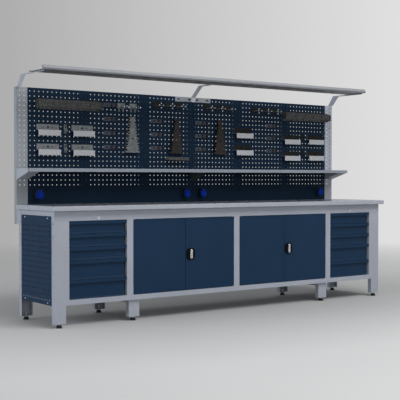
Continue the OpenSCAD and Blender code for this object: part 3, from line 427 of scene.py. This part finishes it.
def block(name, low, high):
    deselect()
    centre = [(a + b) / 2 for a, b in zip(low, high)]
    size = [b - a for a, b in zip(low, high)]
    bpy.ops.mesh.primitive_cube_add(size=1.0, location=centre, scale=size)
    return settle(bpy.context.object, name)


def rod(name, start, end, radius, sides=32, tip_radius=None):
    """A round or many-sided bar from one point to another, tapered where a tip radius is given."""
    deselect()
    start, end = Vector(start), Vector(end)
    way = end - start
    bpy.ops.mesh.primitive_cone_add(
        vertices=sides,
        radius1=radius,
        radius2=radius if tip_radius is None else tip_radius,
        depth=way.length,
        location=(start + end) / 2,
        rotation=way.to_track_quat("Z", "Y").to_euler(),
    )
    return settle(bpy.context.object, name)


def soften(obj, width, segments=2, strip_material=-1):
    """Rounds the sharp edges; the rounded strips take the material of that number."""
    choose(obj)
    edge = obj.modifiers.new("edge", "BEVEL")
    edge.width = width
    edge.segments = segments
    edge.limit_method = "ANGLE"
    edge.angle_limit = SHARP_TURN
    edge.material = strip_material
    bpy.ops.object.modifier_apply(modifier=edge.name)
    bpy.ops.object.shade_smooth_by_angle(angle=SHARP_TURN)
    flat = obj.modifiers.new("flat faces", "WEIGHTED_NORMAL")
    flat.keep_sharp = True
    bpy.ops.object.modifier_apply(modifier=flat.name)
    return obj


def select_faces(obj, passes):
    """Enters edit mode with those faces selected whose centre and normal pass."""
    choose(obj)
    bpy.ops.object.mode_set(mode="EDIT")
    bpy.ops.mesh.select_mode(type="FACE")
    bpy.ops.mesh.select_all(action="DESELECT")
    bpy.ops.object.mode_set(mode="OBJECT")
    for face in obj.data.polygons:
        face.select = passes(face.center, face.normal)
    bpy.ops.object.mode_set(mode="EDIT")


def leave_edit():
    bpy.ops.object.mode_set(mode="OBJECT")


def joined(name, parts):
    deselect()
    for part in parts:
        part.select_set(True)
    bpy.context.view_layer.objects.active = parts[0]
    bpy.ops.object.join()
    return settle(parts[0], name)


def paint(obj, *materials):
    obj.data.materials.clear()
    for material in materials:
        obj.data.materials.append(material)
    return obj


def placed_copy(obj, name, move):
    """A copy with its own mesh, moved by an offset."""
    copy = obj.copy()
    copy.data = obj.data.copy()
    bpy.context.scene.collection.objects.link(copy)
    copy.location = move
    return settle(copy, name)


def body_of_node(name):
    for body, members in frame["record"]["behaviour"]["bodies"].items():
        if name in members:
            return body
    return "root"


def stand_for(piece, node):
    """The piece rides where the node rides and is shown in the node's place."""
    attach(piece, body_of_node(node))
    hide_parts(node)


def rounded_copy(node, width):
    """A copy of a CAD node whose edges are rounded as folded and painted sheet is, with worn paint on them."""
    piece = nodes[node].copy()
    piece.data = nodes[node].data.copy()
    piece.parent = None
    bpy.context.scene.collection.objects.link(piece)
    settle(piece, node + "_formed")
    bpy.ops.object.mode_set(mode="EDIT")
    bpy.ops.mesh.select_all(action="SELECT")
    bpy.ops.mesh.remove_doubles(threshold=WELD)
    bpy.ops.mesh.dissolve_limited(angle_limit=FLAT_TURN)
    leave_edit()
    bpy.context.object.data.validate()
    finish = slot_of[node]
    paint(piece, FINISHES[finish], WORN.get(finish, FINISHES[finish]))
    soften(piece, width, strip_material=1)
    stand_for(piece, node)
    return piece


# Vertices closer than this are one
WELD = 0.00002

# Edge radius of each formed sheet or moulding
EDGE_RADIUS = {
    "top_rails": 0.0007,
    "rear_rail": 0.0007,
    "front_legs": 0.0012,
    "rear_legs": 0.0012,
    "middle_stands": 0.0012,
    "end_rails": 0.0007,
    "left_drawer_cabinet": 0.0006,
    "left_cupboard": 0.0006,
    "right_cupboard": 0.0006,
    "right_drawer_cabinet": 0.0006,
    "drawer_runners": 0.0005,
    "left_door_a": 0.0007,
    "left_door_b": 0.0007,
    "right_door_a": 0.0007,
    "right_door_b": 0.0007,
    "cupboard_shelves": 0.0006,
    "left_handle_plate": 0.002,
    "right_handle_plate": 0.002,
    "left_drawer_lock": 0.0004,
    "right_drawer_lock": 0.0004,
    "end_posts": 0.0007,
    "rear_uprights": 0.0007,
    "socket_bases": 0.0012,
    "socket_lid_1": 0.0014,
    "socket_lid_2": 0.0014,
    "socket_lid_3": 0.0014,
    "socket_lid_4": 0.0014,
    "shelf": 0.0008,
    "shelf_brackets": 0.0007,
    "canopy": 0.0008,
    "canopy_arms": 0.001,
    "centre_plate": 0.0006,
    "comb_racks": 0.0006,
    "tray_holders": 0.0005,
    "tool_clips": 0.0005,
    "twin_hooks": 0.0006,
    "spanner_racks": 0.0005,
    "screws": 0.0003,
}
EDGE_RADIUS.update({f"{side}_drawer_{i}": 0.0006 for side in ("left", "right") for i in range(1, 6)})


def form_sheets():
    return {node: rounded_copy(node, width) for node, width in EDGE_RADIUS.items()}


def second_finish(piece, material, passes):
    """Gives the faces whose centre passes another finish."""
    piece.data.materials.append(material)
    number = len(piece.data.materials) - 1
    for face in piece.data.polygons:
        if passes(face.center):
            face.material_index = number


# Detailed pieces

# How far a holder's plate reaches from the board
PLATE_REACH = 0.004
# Holders of one kind change tone along the board: paler painted light to the left, darker painted shade to the
# right
FIRST_RACK = -0.4
FIRST_TWINS = -0.5
OUTER_HOOKS = 1.2
# Half width of the middle shelf bracket and canopy arm, which take painted shade and painted light
BRACKET_HALF = 0.06
# How high above the canopy's lowest point faces take the underside's painted shade
CANOPY_HEM = 0.001


def on_plate(centre):
    """Is true for the faces of a holder's plate, which lies on the board."""
    return centre.y > board_face - PLATE_REACH


def tone_sheets(formed):
    """Gives sheets and holders of one slot other tones along the bench: their own tones for the tray and clip
    plates, the centre plate and the hooks' pegs, and painted light and shade on the holders, canopy, shelf,
    left post, middle arm and middle bracket.
    """
    tones = (
        ("tray_holders", "tray_plate", on_plate),
        # Painted shade: the right tray plates and the hooks' plates darker
        ("tray_holders", "shaded_dark_holder", lambda c: on_plate(c) and c.x > 0),
        ("twin_hooks", "shaded_dark_holder", on_plate),
        # Painted light: the left twin hooks paler
        ("twin_hooks", "lit_pale_holder", lambda c: c.x < FIRST_TWINS),
        ("twin_hooks", "plated_steel", lambda c: c.y < board_face - PLATE_REACH),
        # Painted shade: the middle shelf bracket darker
        ("shelf_brackets", "middle_bracket_painted_shade", lambda c: abs(c.x) < BRACKET_HALF),
        # Painted light on the left spanner rack, painted shade on the others
        ("spanner_racks", "lit_pale_holder", lambda c: c.x < FIRST_RACK),
        ("spanner_racks", "shaded_dark_rack", lambda c: c.x > FIRST_RACK),
        # Painted shade: the whole canopy in a darker grey
        ("canopy", "canopy_shaded_coat", lambda c: True),
        # Painted shade: the faces at the canopy's underside nearly black
        ("canopy", "canopy_underside_painted_shade", lambda c: c.z < canopy_low + CANOPY_HEM),
        # Painted shade: the whole shelf in a darker grey
        ("shelf", "shelf_shaded_coat", lambda c: True),
        # Painted shade: the left post darker than the right
        ("end_posts", "left_post_shaded_coat", lambda c: c.x < 0),
        # Painted light: the middle canopy arm paler
        ("canopy_arms", "middle_arm", lambda c: abs(c.x) < BRACKET_HALF),
        ("tool_clips", "clip_plate", on_plate),
        # Painted light on the left clips, painted shade on the right ones
        ("tool_clips", "lit_pale_holder", lambda c: c.x < -OUTER_HOOKS),
        ("tool_clips", "shaded_dark_holder", lambda c: c.x > OUTER_HOOKS),
        ("centre_plate", "centre_coat", lambda c: True),
    )
    for node, finish, passes in tones:
        second_finish(formed[node], FINISHES[finish], passes)


# Worktop
TOP_EDGE = 0.004
TOP_EDGE_SEGMENTS = 4
TOP_LIP = 0.022
TOP_HOLLOW = 0.012


def make_worktop():
    """A folded steel top with rounded edges and a lip underneath."""
    low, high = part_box("worktop")
    top = block("worktop_slab", low, high)
    select_faces(top, lambda centre, normal: normal.z < -FACING)
    bpy.ops.mesh.inset(thickness=TOP_LIP)
    bpy.ops.mesh.extrude_region_move(TRANSFORM_OT_translate={"value": (0.0, 0.0, TOP_HOLLOW)})
    leave_edit()
    paint(top, FINISHES["top_grey"], WORN["top_grey"])
    soften(top, TOP_EDGE, TOP_EDGE_SEGMENTS, strip_material=1)
    second_finish(top, FINISHES["top_sheet"], lambda centre: centre.z > high[2] - WELD)
    stand_for(top, "worktop")


# Levelling feet: the middle of the end legs along X, and the feet's places on one half of the bench
LEG_MIDDLE = 1.6095
STAND_MIDDLE = 0.9745
FOOT_PLACES = ((LEG_MIDDLE, -0.2825), (LEG_MIDDLE, 0.2495), (STAND_MIDDLE, -0.2625), (STAND_MIDDLE, 0.2495))
FOOT_BASE = 0.023
FOOT_NECK = 0.0145
FOOT_SOLE = 0.004
FOOT_CONE = 0.022
FOOT_TOP = 0.028
STUD_RADIUS = 0.005
STUD_TOP = 0.058
NUT_RADIUS = 0.0115
NUT_EDGE = 0.0006
THREADS = 12
THREAD_STEP = 0.0022
THREAD_HEIGHT = 0.0012
THREAD_TAPER = 0.84
STUD_SUNK = 0.004
CONE_SHARE = 0.94
FOOT_RIM = 0.003
FOOT_DISH = 0.002
FOOT_EDGE = 0.0008


def make_feet():
    """Eight levelling feet: rubber sole, moulded cone with a step, plated lock nut and threaded stud."""
    sole = rod("foot_sole", (0, 0, 0), (0, 0, FOOT_SOLE), FOOT_BASE, 40)
    cone = rod("foot_cone", (0, 0, FOOT_SOLE), (0, 0, FOOT_CONE), FOOT_BASE * CONE_SHARE, 40, FOOT_NECK)
    select_faces(cone, lambda centre, normal: normal.z > FACING)
    bpy.ops.mesh.inset(thickness=FOOT_RIM)
    bpy.ops.mesh.extrude_region_move(TRANSFORM_OT_translate={"value": (0.0, 0.0, -FOOT_DISH)})
    leave_edit()
    rubber = joined("foot_body", [sole, cone])
    paint(rubber, FINISHES["foot_black"])
    soften(rubber, FOOT_EDGE)
    nut = rod("foot_nut", (0, 0, FOOT_CONE), (0, 0, FOOT_TOP), NUT_RADIUS, 6)
    soften(nut, NUT_EDGE)
    stud = rod("foot_stud", (0, 0, FOOT_CONE - STUD_SUNK), (0, 0, STUD_TOP), STUD_RADIUS, 20)
    turns = [
        rod(f"thread_{i}", (0, 0, z), (0, 0, z + THREAD_HEIGHT), STUD_RADIUS, 20, STUD_RADIUS * THREAD_TAPER)
        for i, z in enumerate(FOOT_TOP + THREAD_STEP * (t + 1) for t in range(THREADS))
    ]
    metal = joined("foot_metal", [nut, stud, *turns])
    paint(metal, FINISHES["plated_steel"])
    spots = [(side * x, y) for side in (-1, 1) for x, y in FOOT_PLACES]
    bodies = [placed_copy(rubber, f"foot_body_{i}", (x, y, 0)) for i, (x, y) in enumerate(spots)]
    metals = [placed_copy(metal, f"foot_metal_{i}", (x, y, 0)) for i, (x, y) in enumerate(spots)]
    for name, parts, own in (("feet_moulded", bodies, True), ("feet_plated", metals, False)):
        piece = joined(name, parts)
        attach(piece, "root")
        if own:
            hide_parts("levelling_feet")
    for spare in (rubber, metal):
        bpy.data.objects.remove(spare)


# Turning handle: lock head, key slot, grip ridge and collar
HEAD_RADIUS = 0.0095
HEAD_DEPTH = 0.005
KEY_SLOT = (0.0016, 0.007)
HEAD_RISE = 0.024
HEAD_RIM = 0.0018
HEAD_DISH = 0.0012
HEAD_EDGE = 0.0004
KEY_DEPTHS = (0.0006, 0.0014)
KEY_EDGE = 0.0002
GRIP_LENGTH = 0.034
GRIP_ABOVE = 0.010
GRIP_HALF = 0.0035
GRIP_DEPTH = 0.0045
GRIP_EDGE = 0.002
COLLAR_RADIUS = 0.0125
COLLAR_DEPTH = 0.0002
COLLAR_EDGE = 0.00008


def make_handle_details(side):
    """The lock head, the grip ridge and the collar that sit on a turning handle and its plate."""
    plate_low, plate_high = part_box(side + "_handle_plate")
    x = (plate_low[0] + plate_high[0]) / 2
    z = (plate_low[2] + plate_high[2]) / 2
    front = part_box(side + "_handle")[0][1]
    head = rod("head", (x, front, z + HEAD_RISE), (x, front - HEAD_DEPTH, z + HEAD_RISE), HEAD_RADIUS, 40)
    select_faces(head, lambda centre, normal: normal.y < -FACING)
    bpy.ops.mesh.inset(thickness=HEAD_RIM)
    bpy.ops.mesh.extrude_region_move(TRANSFORM_OT_translate={"value": (0.0, HEAD_DISH, 0.0)})
    leave_edit()
    soften(head, HEAD_EDGE)
    key = block(
        "key_slot",
        (x - KEY_SLOT[0] / 2, front - HEAD_DEPTH + KEY_DEPTHS[0], z + HEAD_RISE - KEY_SLOT[1] / 2),
        (x + KEY_SLOT[0] / 2, front - HEAD_DEPTH + KEY_DEPTHS[1], z + HEAD_RISE + KEY_SLOT[1] / 2),
    )
    soften(key, KEY_EDGE, 1)
    grip = block(
        "grip",
        (x - GRIP_HALF, front - GRIP_DEPTH, z - GRIP_LENGTH),
        (x + GRIP_HALF, front, z + GRIP_ABOVE),
    )
    soften(grip, GRIP_EDGE, 3)
    paint(head, FINISHES["bright_metal"])
    paint(grip, FINISHES["bright_metal"])
    paint(key, FINISHES["plate_black"])
    metal = joined(side + "_handle_head", [head, grip, key])
    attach(metal, side + "_handle_body")
    collar = rod("collar", (x, plate_low[1], z), (x, plate_low[1] - COLLAR_DEPTH, z), COLLAR_RADIUS, 40)
    soften(collar, COLLAR_EDGE, 1)
    paint(collar, FINISHES["plate_black"])
    settle(collar, side + "_handle_collar")
    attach(collar, side + "_door_b_body")


# Flanged hex bolts: head and flange radius on the frame and on the holders
FRAME_BOLT = (0.0065, 0.009)
HOLDER_BOLT = (0.0055, 0.0075)
FLANGE_DEPTH = 0.0012
BOLT_DEPTH = 0.005
FLANGE_EDGE = 0.0004
BOLT_EDGE = 0.0005


def hex_bolt(name, way, radius, washer):
    """A flanged hex bolt head that lies on a face; way is the outward direction along Y."""
    seat = (0.0, way * FLANGE_DEPTH, 0.0)
    flange = rod(name + "_flange", (0.0, 0.0, 0.0), seat, washer, 28)
    head = rod(name + "_head", seat, (0.0, way * BOLT_DEPTH, 0.0), radius, 6)
    soften(flange, FLANGE_EDGE, 1)
    soften(head, BOLT_EDGE)
    return [flange, head]


def copies_joined(name, model, spots, body, finish):
    """One piece made of copies of a model that was built at the origin."""
    parts = [placed_copy(model, f"{name}_{i}", spot) for i, spot in enumerate(spots)]
    bpy.data.objects.remove(model)
    piece = joined(name, parts)
    paint(piece, finish)
    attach(piece, body)
    return piece


# Bolts at the back
BOLT_ROWS = (0.782, 0.818)
POST_BOLTS = (-0.022, 0.022)
POST_WEB = 0.002
UPRIGHT_WEB = 0.017


def make_back_bolts():
    """Flanged bolts that hold the posts and uprights on the rear rail."""
    spots = []
    for side in (-1, 1):
        spots += [(side * LEG_MIDDLE + dx, board_face + POST_WEB, z) for dx in POST_BOLTS for z in BOLT_ROWS]
    model = joined("bolt_model", hex_bolt("bolt", 1, *FRAME_BOLT))
    seams = [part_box(f"board_panel_{i}")[1][0] for i in range(1, 6)]
    spots += [(x, board_face + UPRIGHT_WEB, z) for x in seams for z in BOLT_ROWS]
    copies_joined("back_bolts", model, spots, "root", FINISHES["plated_steel"])


# Bolts of the tool holders: columns and rows of the board's holes, and the half of the board
PITCH_OF_HOLES = 0.038
LEFT_FIRST = -1.542
RIGHT_FIRST = 0.022
FIRST_ROW = 1.7455
HOLDER_FACE = 0.002
TRAYS = (
    (4, 7.18, -1), (12, 7.18, -1), (4, 11.18, -1), (12, 11.18, -1), (14, 6.48, 1),
    (14, 10.48, 1), (29, 7.58, 1), (29, 11.58, 1), (37, 7.48, 1), (37, 11.48, 1),
)
CLIPS = (
    (18, 2, -1), (18, 5, -1), (18, 8, -1), (18, 11, -1), (30, 5, -1), (30, 8, -1),
    (30, 11, -1), (1, 5, 1), (1, 8, 1), (1, 11, 1), (22, 5, 1), (22, 8, 1), (22, 11, 1),
)
PIN_DEPTH = 0.0025
PIN_RADII = (0.0042, 0.0034)
PIN_EDGE = 0.0004
STUD_SEAT = 0.005
STUD_DEPTH = 0.003
STUD_RADII = (0.0028, 0.0024)
STUD_EDGE = 0.0003
HOOKS = ((8, 7, -1), (8, 11, -1), (33, 7, 1), (33, 11, 1))


def board_spot(column, row, half):
    x = (LEFT_FIRST if half < 0 else RIGHT_FIRST) + column * PITCH_OF_HOLES
    return (x, board_face - HOLDER_FACE, FIRST_ROW - row * PITCH_OF_HOLES)


def make_holder_bolts():
    """Blackened bolts that hold trays, clips and hooks, and the small pins beside a tray's bolt."""
    bolts = [board_spot(*place) for place in TRAYS + CLIPS + HOOKS]
    model = joined("holder_bolt_model", hex_bolt("holder_bolt", -1, *HOLDER_BOLT))
    copies_joined("holder_bolts", model, bolts, "root", FINISHES["dark_bolt"])
    trays = bolts[: len(TRAYS)]
    pins = [(x + side * PITCH_OF_HOLES, y, z) for x, y, z in trays for side in (-1, 1)]
    model = rod("holder_pin", (0.0, 0.0, 0.0), (0.0, -PIN_DEPTH, 0.0), PIN_RADII[0], 24, PIN_RADII[1])
    soften(model, PIN_EDGE)
    copies_joined("holder_pins", model, pins, "root", FINISHES["dark_bolt"])
    nuts = [(x, y - STUD_SEAT, z) for x, y, z in trays]
    model = rod("holder_stud", (0.0, 0.0, 0.0), (0.0, -STUD_DEPTH, 0.0), STUD_RADII[0], 20, STUD_RADII[1])
    soften(model, STUD_EDGE)
    copies_joined("holder_studs", model, nuts, "root", FINISHES["dark_bolt"])


dress_nodes()
formed = form_sheets()
board_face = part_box("board_panel_1")[0][1]
canopy_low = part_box("canopy")[0][2]
tone_sheets(formed)
make_worktop()
make_feet()
for side in ("left", "right"):
    make_handle_details(side)
make_back_bolts()
make_holder_bolts()
make_world()
make_floor()
for softbox in SOFTBOXES:
    add_softbox(*softbox)
add_camera()
view = bpy.context.scene.view_settings
view.view_transform = "Standard"
